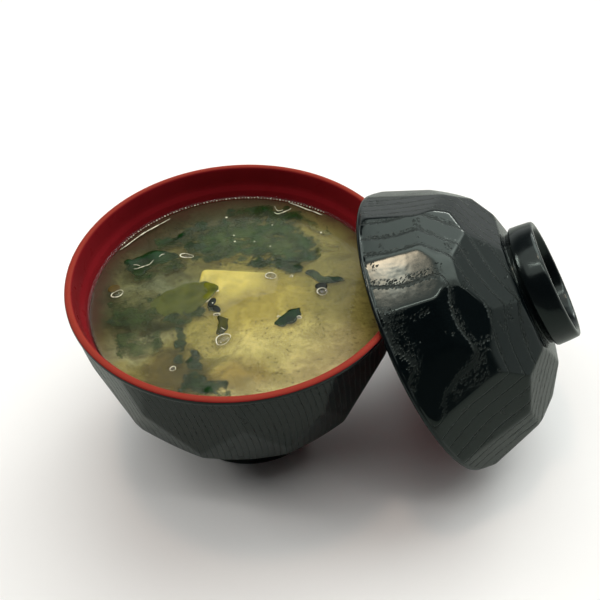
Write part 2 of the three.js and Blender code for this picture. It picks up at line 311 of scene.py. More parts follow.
def group(name, inputs, outputs):
    """An empty node group: its tree, its input sockets and its output node. Sockets are named
    with their kind, or a number input with its plain value."""
    made = bpy.data.node_groups.new(name, "ShaderNodeTree")
    for label, kind in inputs.items():
        number = not isinstance(kind, str)
        socket = made.interface.new_socket(
            label, in_out="INPUT", socket_type="NodeSocket" + ("Float" if number else kind))
        if number:
            socket.default_value = kind
    for label, kind in outputs.items():
        made.interface.new_socket(label, in_out="OUTPUT", socket_type="NodeSocket" + kind)
    return made, made.nodes.new("NodeGroupInput").outputs, made.nodes.new("NodeGroupOutput")


def use(tree, made, **ins):
    """Places a node group in a tree and gives its outputs."""
    placed = node(tree, "ShaderNodeGroup", node_tree=made)
    feed(tree, placed, **ins)
    return placed.outputs


def material(name, **plain):
    """A node material: its tree, its Principled shader and its Object coordinates."""
    made = bpy.data.materials.new(name)
    made.use_nodes = True
    tree = made.node_tree
    shader = tree.nodes["Principled BSDF"]
    feed(tree, shader, **plain)
    return made, tree, shader, tree.nodes.new("ShaderNodeTexCoord").outputs["Object"]


# ---- lacquered wood ----
# Where a growth layer, from 0 to 1, has its comb of pores and the groove that ends it.
COMB_RISE, COMB_FALL = (0.64, 0.76), (0.97, 0.9)
GROOVE_RISE, GROOVE_FALL, GROOVE_DEPTH = (0.87, 0.92), (1.0, 0.94), 0.6
# Pores: how many in a metre, how sharp their edge is, and how much they are drawn out.
PORES_PER_M, PORE_EDGE, PORE_DRAWN = 1800.0, (0.47, 0.33), 0.65
SWAY, JAG = 2.0, 0.12  # how far layers wander and how ragged they are, in layers
BLACK_TONE, PORE_TONE = (0.0018, 0.0034, 0.004, 1), (0.001, 0.0018, 0.002, 1)
# The second tone on the next line is a painted highlight: the lighter red on top of the bowl's lip.
TURNED_TONE, LIP_HIGHLIGHT_TONE = (0.0032, 0.0048, 0.0056, 1), (0.26, 0.034, 0.022, 1)
RED_DARK, RED_LIGHT = (0.18, 0.0085, 0.0125, 1), (0.255, 0.0125, 0.018, 1)
# Tints of the gloss on carved wood, on turned wood and on the red inside.
COLD_TINT, TURNED_TINT, RED_TINT = (0.84, 1.0, 0.9, 1), (0.84, 1.0, 0.93, 1), (1.0, 0.6, 0.5, 1)


def make_wood_grain():
    """Growth layers as shells round a far `Centre`, a little wavy. Each ends in a thin groove
    with a comb of open pores beside it. The pores are short dashes that run along `Fibre`."""
    made, g, out = group(
        "wood_grain", {"Vector": "Vector", "Centre": "Vector", "Fibre": "Vector", "Spacing": 0.004},
        {"Line": "Float", "Pore": "Float", "Height": "Float"})
    run = vector_maths(made, "DOT_PRODUCT", g["Vector"], g["Fibre"])
    pulled = scaled(made, g["Fibre"], times(made, run, -PORE_DRAWN))
    drawn = vector_maths(made, "ADD", g["Vector"], pulled)
    cells = node(made, "ShaderNodeTexVoronoi",
                 {"Vector": drawn, "Scale": PORES_PER_M, "Randomness": 0.7},
                 voronoi_dimensions="3D").outputs["Distance"]
    away = vector_maths(made, "DISTANCE", g["Vector"], g["Centre"])
    layers = maths(made, "DIVIDE", away, g["Spacing"])
    swaying = maths(made, "ADD", layers, times(made, noise(made, g["Vector"], 18.0, 2.0), SWAY))
    ring = maths(made, "FRACT", maths(made, "ADD", swaying, times(made, cells, JAG)))
    groove = times(made, remap(made, ring, *GROOVE_RISE), remap(made, ring, *GROOVE_FALL))
    comb = times(made, remap(made, ring, *COMB_RISE), remap(made, ring, *COMB_FALL))
    patchy = remap(made, noise(made, g["Vector"], 60.0, 1.0), 0.42, 0.56, 0.1, 1.0)
    claws = remap(made, noise(made, g["Vector"], 170.0, 1.0), 0.66, 0.7, 0.0, 0.8)
    open_wood = maths(made, "MAXIMUM", times(made, comb, patchy), claws)
    pore = times(made, remap(made, cells, *PORE_EDGE), open_wood)
    dip = maths(made, "MAXIMUM", pore, times(made, groove, GROOVE_DEPTH))
    feed(made, out, Line=groove, Pore=pore, Height=maths(made, "SUBTRACT", 1.0, dip))
    return made


WOOD_GRAIN = make_wood_grain()


def black_lacquer(name, centre, fibre, spacing, relief, gloss):
    """Glossy black lacquer that has sunk into the pores of carved wood."""
    made, tree, shader, place = material(name, Specular_IOR_Level=gloss, Specular_Tint=COLD_TINT)
    grain = use(tree, WOOD_GRAIN, Vector=place, Centre=centre, Fibre=fibre, Spacing=spacing)
    worn = maths(tree, "MAXIMUM", grain["Pore"], grain["Line"])
    uneven = bumped(tree, noise(tree, place, 120.0, 3.0), 0.00012, Strength=0.6)
    feed(tree, shader, Base_Color=blend(tree, grain["Pore"], BLACK_TONE, PORE_TONE),
         Roughness=maths(tree, "ADD", drifting(tree, place, 70.0, 4.0, 0.08, 0.15),
                         times(tree, worn, 0.35)),
         Normal=bumped(tree, grain["Height"], relief, Strength=1.0, Normal=uneven))
    return made


def smooth_lacquer():
    """The same black lacquer on turned rims and on the knob, where no pore shows."""
    made, tree, shader, place = material(
        "black_lacquer_turned", Specular_IOR_Level=0.4, Specular_Tint=TURNED_TINT,
        Base_Color=TURNED_TONE)
    feed(tree, shader, Roughness=drifting(tree, place, 90.0, 4.0, 0.12, 0.2),
         Normal=bumped(tree, noise(tree, place, 300.0, 2.0), 0.00003))
    return made


def red_lacquer():
    """Smooth red lacquer, uneven in tone and gloss, with a lighter painted highlight on the lip."""
    made, tree, shader, place = material("red_lacquer", IOR=1.35, Specular_IOR_Level=0.06,
                                         Specular_Tint=RED_TINT)
    red = blend(tree, noise(tree, place, 60.0, 4.0), RED_DARK, RED_LIGHT)
    # Painted highlight: the top of the lip is painted a lighter red.
    worn = remap(tree, part(tree, place, "Z"), (BOWL_H - 0.6) * MM, (BOWL_H - 0.1) * MM)
    feed(tree, shader, Base_Color=blend(tree, worn, red, LIP_HIGHLIGHT_TONE),
         Roughness=drifting(tree, place, 240.0, 3.0, 0.26, 0.4),
         Normal=bumped(tree, noise(tree, place, 500.0, 2.0), 0.00002))
    return made


def layers_from(middle, way, distance):
    """The centre of growth shells that cross `middle` (millimetres) and face `way`."""
    unit = np.array(way) / np.linalg.norm(way)
    return tuple((AXIS_MM + middle - unit * distance) * MM)


RED, BLACK = red_lacquer(), smooth_lacquer()
BOWL_BLACK = black_lacquer(
    "bowl_black_lacquer", centre=layers_from((0, 0, 40), (0.95, 0.3, 0.05), 170),
    fibre=(0.0, 0.1, 0.99), spacing=0.0019, relief=0.00007, gloss=0.33)
LID_BLACK = black_lacquer(
    "lid_black_lacquer", centre=layers_from((LID_X, LID_Y, 43), (-0.12, -0.64, 0.76), 74.5),
    fibre=(0.62, 0.55, 0.56), spacing=0.0024, relief=0.0002, gloss=0.38)


def wood_finishes(lengths, rings):
    """The finish of each band of rings: red inside, black lip, carved wall, black foot or knob."""
    stretch = np.searchsorted(np.cumsum(lengths), np.arange(len(rings) - 1), side="right")
    return np.array((1, 2, 0, 2))[stretch]


# ---- the bowl ----
BOWL_EYE = 20  # depth of the point on the axis from which its wall is carved


def rim_z(depth):
    return BOWL_H - depth


def under_rim(profile):
    """Radii and depths under the rim as radii and heights."""
    return [(r, rim_z(depth)) for r, depth in profile]


def bowl_flats():
    """The three rows of flats, each a little off its even pitch."""
    rows = []
    for level, (slope, radius, depth) in enumerate(WALL_ROWS):
        tilt = rad(180 - slope)
        for k in range(FLATS):
            wobble = math.sin(2.4 * k + 1.7 * level)
            azimuth = FLAT_TURN + 360 / FLATS * (k + (level % 2) / 2) + CARVE_TURN * wobble
            reach = math.sin(tilt) * radius + math.cos(tilt) * rim_z(depth)
            rows.append((azimuth, 180 - slope, reach + CARVE_REACH * math.cos(3.1 * k + level)))
    return rows


def make_bowl():
    """The inside up from its bottom, the ledge for the lid, the lip and its turned band, then the
    carved wall down to the turned foot and its recess."""
    inside = smooth_line(under_rim(reversed(INNER_WALL)), 3.0)
    ledge = under_rim([(50.5, 9.5), (50.7, 9.1), (51.35, 7.7), (51.55, 7.2), (51.8, 5.5), (52.1, 3),
                       (52.4, 1.1), (52.5, 0.6)])
    lip = under_rim([(BOWL_R + out, depth) for out, depth in (
        (-2.15, 0.3), (-1.8, 0.08), (-1.3, 0), (-0.8, 0.06), (-0.4, 0.25), (-0.18, 0.5))])
    band = under_rim([(BOWL_R + out, depth) for out, depth in (
        (-0.05, 0.85), (0, 1.3), (-0.1, BAND_H), (-0.3, BAND_H + 0.15))])
    wall = under_rim([(53.95, BAND_H + 0.3), (53.1, 10), (51.6, 22), (49.8, 32), (47.2, 41),
                      (42.7, 48.5), (35.7, 55), (31, 59.4), (28.9, 61.2)])
    blank = under_rim([(54.4, 2.5), (54.1, 10), (53.5, 20), (52, 34), (48.1, 45), (37.7, 55)])
    blank.append((29.5, 9))
    carved = carved_rings(smooth_line(wall, 0.62), rim_z(BOWL_EYE), bowl_flats(), blank)
    foot = [(28.85, 12.2), (28.9, 11.4), (29.1, 7), (29.35, 3), (29.5, 0.9), (29.4, 0.4),
            (29.1, 0.1), (28.7, 0), (26.9, 0), (26.5, 0.1), (26.2, 0.35), (26, 0.8), (25.8, 4),
            (25.4, 7.4), (25.1, 8.1), (24.4, RECESS_H - 0.05), (23.5, RECESS_H), (12, RECESS_H),
            (0.4, RECESS_H)]
    turned = [turned_rings(profile) for profile in (inside, ledge, lip, band, foot)]
    rings = np.concatenate([*turned[:4], carved, turned[4]])
    lengths = [len(inside) + len(ledge) + len(lip) - 1, len(band), len(carved)]
    return spun("bowl_carved", rings, [BOWL_BLACK, RED, BLACK], wood_finishes(lengths, rings))


# ---- the lid ----
LID_EYE = -10  # height on the lid's axis from which it is carved


def lid_turn():
    """The turn that leans the lid's axis away from the bowl, as columns top, side, axis."""
    axis = np.array([math.cos(rad(LID_TURN)), math.sin(rad(LID_TURN)), math.tan(rad(LID_RISE))])
    axis /= np.linalg.norm(axis)
    top = np.array([0, 0, 1]) - axis * axis[2]
    top /= np.linalg.norm(top)
    return np.stack([top, np.cross(axis, top), axis], 1)


def make_lid():
    """The inside down to the lip, then the carved outside up to the turned knob ring."""
    flats = [*LID_SKIRT, *LID_SHOULDER, *LID_CROWN]
    for first, step, count, slope, reach in LID_FAR:
        flats += [(first + step * k, slope + math.sin(2.1 * k), reach + 0.25 * math.cos(1.9 * k))
                  for k in range(count)]
    inside = smooth_line([(0.4, 34.6), (13, 33.8), (23, 31.6), (30.8, 28), (35.6, 24), (41.6, 16),
                          (45.3, 8), (47.9, 3), (48.95, 0.5)], 3.0)
    lip = [(49.3, 0.15), (49.8, 0), (50.2, 0.03), (50.6, 0.2), (50.9, 0.5), (51, 0.9), (50.9, 1.5),
           (50.7, 1.62)]
    wall = [(50.7, 1.7), (50, 8), (46.7, 16), (41.3, 24), (35, 30.2), (27.7, 34.8), (22, 36.5),
            (19.35, 37.1)]
    blank = [(51, 1.5), (50.8, 8), (48.9, 16), (45.4, 24), (39.4, 31), (30.3, 35.8), (24, 36.5),
             (19, 36.8), (1, 36.8)]
    carved = carved_rings(smooth_line(wall, 0.6), LID_EYE, flats, blank)
    knob = [(19.4, 37.2), (19.4, 37.9), (19.55, 38.25), (20.2, 38.4), (20.6, 38.65), (20.8, 39.1),
            (20.6, 42), (20.25, 45.2), (20.1, 45.8), (19.7, 46.1), (19.2, 46.2), (18.5, 46.2),
            (18.1, 46.1), (17.75, 45.8), (17.55, 45.2), (17.3, 42), (17.05, 39.8), (16.6, 39),
            (15.8, 38.65), (14.8, 38.6), (8, 38.6), (0.4, 38.6)]
    rings = np.concatenate([turned_rings(inside), turned_rings(lip), carved, turned_rings(knob)])
    slots = wood_finishes([len(inside), len(lip), len(carved)], rings)
    turn = lid_turn()
    low_z = (rings.reshape(-1, 3) @ turn.T)[:, 2].min()
    place = (turn, AXIS_MM + (LID_X, LID_Y, -low_z))
    return spun("lid_carved", rings, [LID_BLACK, RED, BLACK], slots, place)


bowl = make_bowl()
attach(bowl, "root")
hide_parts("bowl")
lid = make_lid()
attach(lid, "root")
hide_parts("lid")


# ---- the broth ----
BROTH = srgb(160, 150, 76)
WALL_SHADE, WALL_RED, CREEP_RED = srgb(76, 42, 36), srgb(112, 40, 38), srgb(80, 16, 14)
# The opaque bed: its depth on the clear and on the cloudy side, its thickness, the points round
# it, the way in which it rises, and from where to where. Between BACK_FROM and BACK_TO, behind
# the middle, the rise is lost but for BACK_LEFT of it.
BED_CLEAR, BED_CLOUDY, BED_THICK, BED_TURNS = 3.6, 1.35, 1.0, 240
BED_WAY, BED_FROM, BED_TO = (0.8, -0.25, 0), -14, 8
BACK_FROM, BACK_TO, BACK_LEFT = 11, 20, 0.12
WALL_SET = 0.1  # how far the wet edge reaches into the wall
CREEP = 0.55  # how far from the wall the meniscus falls to 1/e
PULL = 0.026  # how far noise pulls the broth's patterns about, in metres
PATCH_FADE = (0.35, 1.1)  # where a patch starts and ends to fade, in its half sizes
# Patches of other colour in the cloudy broth: tone, centre and half sizes in millimetres, turn
# in degrees and strength.
PATCHES = (
    (srgb(98, 100, 72), (-6, 48), (62, 18), -4, 1.0),
    (srgb(106, 108, 72), (-33, 12), (30, 30), -20, 0.9),
    (srgb(72, 66, 46), (-28, 36), (30, 11), 38, 0.9),
    (srgb(56, 56, 40), (-46, 4), (9, 26), 4, 0.85),
    (srgb(138, 132, 72), (36, 14), (20, 40), 10, 0.8),
    (srgb(84, 72, 34), (-28, -33), (24, 11), 38, 0.9),
    (srgb(144, 144, 106), (-36, -19), (18, 10), 20, 0.9),
    (srgb(58, 66, 36), (-36, -6), (17, 7), -8, 0.9),
    (srgb(66, 74, 40), (-24, -9), (12, 4), 30, 0.8),
    (srgb(138, 144, 108), (-26, 9), (16, 6), -12, 0.7),
    (srgb(210, 200, 136), (2, -43), (22, 7), 2, 0.75),
    (srgb(150, 126, 60), (-4, -36), (16, 9), -10, 0.7),
    (srgb(194, 176, 116), (24, -32), (18, 11), 20, 0.8),
    (srgb(206, 186, 126), (28, -41), (18, 6), 14, 0.7),
    (srgb(220, 206, 126), (10, -22), (26, 14), 0, 0.75),
    (srgb(200, 178, 70), (4, -6), (22, 17), -14, 0.5),
)


def make_cloudy_broth():
    """Broth whose colour drifts in soft patches, pulled about by noise, and the wisps of paste
    that hang in it."""
    made, given, out = group("cloudy_broth", {"Vector": "Vector"},
                             {"Color": "Color", "Wisp": "Float"})
    spot = about_axis(made, given["Vector"], tall=0.2)
    drift = noise(made, spot, 60.0, 8.0, 0.62, give="Color")
    pulled = scaled(made, vector_maths(made, "SUBTRACT", drift, (0.5,) * 3), PULL)
    moved = vector_maths(made, "ADD", spot, pulled)
    colour = BROTH
    for tone, (x, y), (long, wide), turn, strength in PATCHES:
        away = vector_maths(made, "SUBTRACT", moved, (x * MM, y * MM, 0))
        turned = node(made, "ShaderNodeVectorRotate", {"Vector": away, "Angle": rad(-turn)},
                      rotation_type="Z_AXIS").outputs["Vector"]
        oval = vector_maths(made, "MULTIPLY", turned, (1 / (long * MM), 1 / (wide * MM), 0))
        mask = remap(made, vector_maths(made, "LENGTH", oval), *PATCH_FADE, strength, 0.0)
        colour = blend(made, mask, colour, tone)
    wisp = remap(made, noise(made, moved, 120.0, 8.0, 0.68), 0.38, 0.62)
    clear = remap(made, part(made, spot, "X"), -20 * MM, 10 * MM, 0.66, 0.94)
    streaky = noise(made, vector_maths(made, "MULTIPLY", moved, (1, 1.9, 1)), 70.0, 8.0, 0.7)
    murk = remap(made, streaky, 0.4, 0.58, clear, 1.1)
    speckle = remap(made, noise(made, spot, 900.0, 3.0), 0.54, 0.7)
    grit = times(made, speckle, remap(made, noise(made, spot, 70.0, 2.0), 0.4, 0.6, 0.05, 0.4))
    paste = remap(made, wisp, 0.0, 1.0, 0.72, 1.14, "LINEAR")
    shade = times(made, maths(made, "SUBTRACT", paste, grit), murk)
    feed(made, out, Color=scaled(made, colour, shade), Wisp=wisp)
    return made


def make_sunk():
    """What lies under the surface turns into mist with its depth, 1 - exp(-depth / reach), uneven
    with the wisps, and wholly where it meets the opaque bed. Light there comes scattered from
    above, so the normal turns upwards."""
    made, g, out = group(
        "sunk", {"Vector": "Vector", "Color": "Color", "Mist": "Color", "Broth": "Color",
                 "Wisp": 0.5, "Reach": 0.002, "Fade": 0.5},
        {"Color": "Color", "Veil": "Float", "Normal": "Vector"})
    under = maths(made, "SUBTRACT", LEVEL * MM, part(made, g["Vector"], "Z"))
    depth = maths(made, "MAXIMUM", under, 0.0)
    uneven = remap(made, g["Wisp"], 0.0, 1.0, 0.15, 2.3, "LINEAR")
    far = times(made, maths(made, "DIVIDE", depth, g["Reach"]), uneven)
    veil = maths(made, "SUBTRACT", 1.0, maths(made, "EXPONENT", times(made, far, -1.0)))
    spot = about_axis(made, g["Vector"])
    run = vector_maths(made, "DOT_PRODUCT", spot, BED_WAY)
    cloudy = remap(made, run, BED_FROM * MM, BED_TO * MM)
    back = remap(made, part(made, spot, "Y"), BACK_FROM * MM, BACK_TO * MM, 1.0, BACK_LEFT)
    rise = times(made, times(made, cloudy, back), (BED_CLEAR - BED_CLOUDY) * MM)
    bed = maths(made, "SUBTRACT", BED_CLEAR * MM, rise)
    near = remap(made, maths(made, "DIVIDE", depth, bed), g["Fade"], 0.95)
    misty = blend(made, veil, g["Color"], g["Mist"])
    whole = maths(made, "MAXIMUM", veil, near)
    facing = made.nodes.new("ShaderNodeNewGeometry").outputs["Normal"]
    lifted = maths(made, "MINIMUM", times(made, whole, 1.4), 0.97)
    upward = blend(made, lifted, facing, (0, 0, 1, 1))
    feed(made, out, Color=blend(made, near, misty, g["Broth"]), Veil=whole,
         Normal=vector_maths(made, "NORMALIZE", upward))
    return made


CLOUDY_BROTH = make_cloudy_broth()
SUNK = make_sunk()


def broth_film():
    """The wet surface: a thin dark film that lets what lies below show through, and red where it
    climbs the wall."""
    made, tree, shader, place = material(
        "broth_surface", Roughness=0.3, IOR=1.4, Specular_IOR_Level=0.8,
        Coat_Weight=0.6, Coat_Roughness=0.07, Coat_IOR=1.5)
    climb = remap(tree, part(tree, place, "Z"), (LEVEL + 0.02) * MM, (LEVEL + 0.3) * MM)
    wisp = use(tree, CLOUDY_BROTH, Vector=place)["Wisp"]
    cover = remap(tree, wisp, 0.0, 1.0, 0.19, 0.24, "LINEAR")
    feed(tree, shader, Base_Color=blend(tree, climb, srgb(56, 60, 26), CREEP_RED),
         Alpha=maths(tree, "SUBTRACT", cover, times(tree, climb, 0.05)),
         Normal=bumped(tree, noise(tree, place, 260.0, 2.0), 0.00002))
    return made


def broth_bed():
    """The thick cloudy broth that nothing shows through, and a dark red towards the wall, partly
    the wall's red that reaches into it and partly painted shade there, less of it in front."""
    made, tree, shader, place = material("broth_deep", Roughness=0.8, Specular_IOR_Level=0.1)
    broth = use(tree, CLOUDY_BROTH, Vector=place)
    spot = about_axis(tree, place)
    wavy = times(tree, broth["Wisp"], 0.0025)
    out = maths(tree, "ADD", vector_maths(tree, "LENGTH", spot), wavy)
    # Towards the wall the bed turns dark red: partly the wall's red, partly painted shade.
    wall = remap(tree, out, (LEVEL_R - 7) * MM, (LEVEL_R + 1.5) * MM, 0.0, 0.9)
    ahead = remap(tree, part(tree, spot, "Y"), -35 * MM, 0, 0.25, 1.0)
    feed(tree, shader,
         Base_Color=blend(tree, times(tree, wall, ahead), broth["Color"], WALL_SHADE))
    return made


def broth_side():
    """Where the red wall of the bowl shows through the first millimetres of broth."""
    made, tree, shader, place = material("broth_side", Roughness=0.6, Specular_IOR_Level=0.1)
    broth = use(tree, CLOUDY_BROTH, Vector=place)["Color"]
    mixed = use(tree, SUNK, Vector=place, Color=WALL_RED, Mist=broth, Broth=broth, Reach=0.0015)
    feed(tree, shader, Base_Color=mixed["Color"], Normal=mixed["Normal"])
    return made


FILM, BED, SIDE = broth_film(), broth_bed(), broth_side()


def make_broth():
    """The broth up to its level: the wall's profile drawn in by a gap and turned, then a meniscus
    z = rise exp(-(edge - r) / reach) whose height wanders a little round the wall."""
    edge = LEVEL_R + WALL_SET
    under = [(max(r - GAP, 0.4), z + GAP) for r, z in under_rim(reversed(INNER_WALL[1:]))]
    side = [(edge, LEVEL - 3), (edge, LEVEL), (edge + 0.03, LEVEL + MENISCUS - 0.02)]
    out = np.concatenate([np.linspace(0, 3, 26), np.linspace(3.5, edge - 0.4, 40)])
    top = turned_rings(np.stack([edge - out, LEVEL + MENISCUS * np.exp(-out / CREEP)], -1))
    turn = np.arctan2(top[..., 1], top[..., 0])
    top[..., 2] += 0.12 * (top[..., 2] - LEVEL) * np.sin(9 * turn + 2 * np.sin(4 * turn))
    rings = np.concatenate([turned_rings(smooth_line(under, 3.0)), turned_rings(side), top])
    slots = np.where(np.arange(len(rings) - 1) < len(rings) - len(top), 1, 0)
    return spun("broth", rings, [FILM, SIDE], slots)


def make_bed():
    """The level below which the broth is opaque: a thin uneven disc, deep on the clear side,
    shallow on the cloudy side, eased between them, and rising in the same way to the wall."""
    radii = np.linspace(0.4, LEVEL_R - 0.6, 70)
    top = turned_rings(np.stack([radii, np.zeros_like(radii)], -1), BED_TURNS)
    x, y = top[..., 0], top[..., 1]
    back = ease(y, BACK_FROM, BACK_TO) * (1 - BACK_LEFT)
    cloudy = ease(x * BED_WAY[0] + y * BED_WAY[1], BED_FROM, BED_TO) * (1 - back)
    depth = BED_CLEAR - (BED_CLEAR - BED_CLOUDY) * cloudy
    depth += (0.5 - depth) * ease(np.hypot(x, y), LEVEL_R - 9, LEVEL_R - 1)
    top[..., 2] = LEVEL - depth + 0.08 * ripples(x, y, 3, 12)
    return spun("broth_below", np.concatenate([top, top[::-1] - (0, 0, BED_THICK)]), [BED])


# ---- bean curd ----
# Middle, sizes and rounding of the block, its turn and dip, how deep the middle of its top lies,
# and between which places, right of the bowl's axis, it fades into the broth.
CURD_X, CURD_Y, CURD_LONG, CURD_WIDE, CURD_TALL, CURD_CORNER = -1.5, -0.2, 27, 20, 14, 1.1
CURD_TURN, CURD_DIP, CURD_SUNK, CURD_CLEAR, CURD_GONE = -14, 8, 1.4, 2, 11
CURD_POWER = 14  # n of the rounded oblong: the greater, the squarer


def bean_curd():
    """Pale, moist and slightly pitted; it fades into the broth with its depth."""
    made, tree, shader, place = material("bean_curd", Specular_IOR_Level=0.4)
    broth = use(tree, CLOUDY_BROTH, Vector=place)
    pale = blend(tree, noise(tree, place, 220.0, 4.0), srgb(226, 204, 80), srgb(244, 228, 112))
    mixed = use(tree, SUNK, Vector=place, Color=pale, Mist=broth["Color"], Broth=broth["Color"],
                Wisp=broth["Wisp"], Reach=0.0022, Fade=0.3)
    across = part(tree, about_axis(tree, place), "X")
    fading = remap(tree, across, CURD_CLEAR * MM, CURD_GONE * MM, 0.0, 0.85)
    pits = remap(tree, noise(tree, place, 1100.0, 2.0), 0.35, 0.5)
    feed(tree, shader, Base_Color=blend(tree, fading, mixed["Color"], broth["Color"]),
         Roughness=drifting(tree, place, 600.0, 3.0, 0.32, 0.5),
         Normal=bumped(tree, pits, 0.00006, Strength=0.6, Normal=mixed["Normal"]))
    return made


def make_curd():
    """A block cut by knife: rings of a rounded oblong, |x/a|^n + |y/b|^n = 1, from the top down
    round two soft edges, then tilted, turned and set where the solid lies."""
    t = np.linspace(0, 2 * np.pi, 240, endpoint=False)
    across, along = (np.sign(c) * np.abs(c) ** (2 / CURD_POWER) for c in (np.cos(t), np.sin(t)))
    bend = np.linspace(0, np.pi / 2, 7)
    gone, left = CURD_CORNER * (1 - np.sin(bend)), CURD_CORNER * (1 - np.cos(bend))
    straight = np.linspace(CURD_CORNER + 1, CURD_TALL - CURD_CORNER - 1, 12)
    # Each row: part of the full outline, how far it is drawn in, and how far down it lies.
    rows = [(k, CURD_CORNER, 0.0) for k in np.linspace(0.03, 0.97, 24)]
    rows += [(1, inset, drop) for inset, drop in zip(gone, left)]
    rows += [(1, 0.0, drop) for drop in straight]
    rows += [(1, inset, CURD_TALL - rise) for inset, rise in zip(left, gone)]
    rows += [(k, CURD_CORNER, CURD_TALL) for k in np.linspace(0.97, 0.03, 12)]
    rings = np.array([np.stack([(CURD_LONG / 2 - inset) * k * across,
                                (CURD_WIDE / 2 - inset) * k * along,
                                np.full_like(t, -drop)], -1) for k, inset, drop in rows])
    rings *= 1 + 0.006 * ripples(rings[..., 0], rings[..., 1], 5, 9)[..., None]
    rings[..., 2] += 0.1 * ripples(rings[..., 0], rings[..., 1], 8, 6)
    turn = Matrix.Rotation(rad(CURD_TURN), 3, "Z") @ Matrix.Rotation(rad(CURD_DIP), 3, "X")
    place = (np.array(turn), AXIS_MM + (CURD_X, CURD_Y, LEVEL - CURD_SUNK))
    return spun("curd", rings, [bean_curd()], place=place)


# ---- seaweed ----
def seaweed(name, dark, light, mist, reach, frayed):
    """Wet leaf with a fine vein grain, which the cloudy broth covers more and more with its
    depth. It frays out towards its edge, by the `cover` that its mesh carries, between the two
    values of `frayed`."""
    made, tree, shader, place = material(name, Specular_IOR_Level=0.12)
    broth = use(tree, CLOUDY_BROTH, Vector=place)
    mottle = remap(tree, noise(tree, place, 190.0, 5.0, 0.6), 0.35, 0.68)
    mixed = use(tree, SUNK, Vector=place, Color=blend(tree, mottle, dark, light),
                Mist=blend(tree, 0.15, mist, broth["Color"]), Broth=broth["Color"],
                Wisp=broth["Wisp"], Reach=reach, Fade=0.55)
    ribs = noise(tree, vector_maths(tree, "MULTIPLY", place, (1, 0.35, 1)), 420.0, 3.0)
    cover = node(tree, "ShaderNodeAttribute", attribute_name="cover").outputs["Fac"]
    whole = maths(tree, "MINIMUM", times(tree, cover, 1.2), 0.75)
    tatters = noise(tree, vector_maths(tree, "MULTIPLY", place, (1, 1.7, 1)), 130.0, 5.0, 0.72)
    torn = maths(tree, "ADD", whole, times(tree, tatters, 3.0))
    feed(tree, shader, Base_Color=mixed["Color"],
         Roughness=remap(tree, mixed["Veil"], 0.0, 0.35, 0.26, 0.9),
         Normal=bumped(tree, ribs, 0.00012, Strength=0.5, Normal=mixed["Normal"]),
         Alpha=remap(tree, torn, *frayed))
    return made


TEAL_MIST, OLIVE_MIST, DUSKY_MIST = srgb(80, 104, 60), srgb(86, 96, 42), srgb(84, 98, 58)
DEEP_GREEN = seaweed("seaweed_green", srgb(2, 28, 4), srgb(14, 52, 12),
                     TEAL_MIST, 0.0036, (1.45, 1.85))
MISTY_GREEN = seaweed("seaweed_misty", srgb(2, 30, 4), srgb(12, 58, 10),
                      TEAL_MIST, 0.0042, (1.7, 2.24))
OLIVE_GREEN = seaweed("seaweed_olive", srgb(58, 66, 8), srgb(98, 100, 20),
                      OLIVE_MIST, 0.0018, (0.9, 1.2))
BROWN_GREEN = seaweed("seaweed_brown", srgb(30, 34, 6), srgb(66, 66, 16),
                      OLIVE_MIST, 0.0018, (0.9, 1.2))
DUSKY_GREEN = seaweed("seaweed_below", srgb(4, 30, 4), srgb(14, 50, 8),
                      DUSKY_MIST, 0.0065, (1.95, 2.38))

LEAF_THICK, LEAF_FRAY = 0.5, 0.3
# Leaves of BELOW: points along and across each, how frayed and ruffled, depth in the middle.
BELOW_STEPS, BELOW_ACROSS, BELOW_FRAY, BELOW_RUFFLE, BELOW_MID = 96, 30, 0.7, 0.6, 0.2


def leaf_grid(steps, across):
    """u along the leaf and v across it, each from 0 to 1."""
    return np.linspace(0, 1, steps)[:, None], np.linspace(0, 1, across)[None, :]


def carry_cover(piece, steps, across, leaves):
    """Gives each point its leaf's `cover`, 0 at the rim and 1 at the middle: the least way to the
    four edges."""
    u, v = leaf_grid(steps, across)
    cover = 2 * np.minimum(np.minimum(u, 1 - u) * 2, np.minimum(v, 1 - v)).clip(0, 0.5)
    values = np.tile(cover.ravel(), 2 * leaves)
    piece.data.attributes.new("cover", "FLOAT", "POINT").data.foreach_set("value", values)


def leaf(near, far, corners, mid, ruffle, seed, fray, steps, across):
    """A sheet between a near and a far edge line. (u, v) -> the point at v between the two lines
    at u, frayed by ripples; its depth is the four corners' depths blended, plus
    mid sin(pi u)^0.6 sin(pi v)^0.7, plus ripples."""
    a, b = even_line(near, steps), even_line(far, steps)
    u, v = leaf_grid(steps, across)
    out = (b - a) / np.maximum(np.linalg.norm(b - a, axis=1, keepdims=True), 1e-6)
    s = u[:, 0] * np.linalg.norm(np.diff(a, axis=0), axis=1).sum()
    a = a - out * (fray * ripples(s, 0 * s, seed, 5))[:, None]
    b = b + out * (fray * ripples(s, 0 * s, seed + 1, 4))[:, None]
    x, y = (a[:, k:k + 1] * (1 - v) + b[:, k:k + 1] * v for k in (0, 1))
    nl, nr, fl, fr = corners
    depth = (nl * (1 - u) + nr * u) * (1 - v) + (fl * (1 - u) + fr * u) * v
    depth = depth + mid * np.sin(np.pi * u) ** 0.6 * np.sin(np.pi * v) ** 0.7
    depth = depth + ruffle * ripples(x, y, seed + 2, 9)
    rim = np.minimum(3 * np.minimum(u, 1 - u), np.minimum(v, 1 - v))
    half = LEAF_THICK / 2 * np.sqrt(0.02 + 0.98 * np.minimum(1, 6 * rim))
    return slab(x, y, LEVEL - depth + half, LEVEL - depth - half)


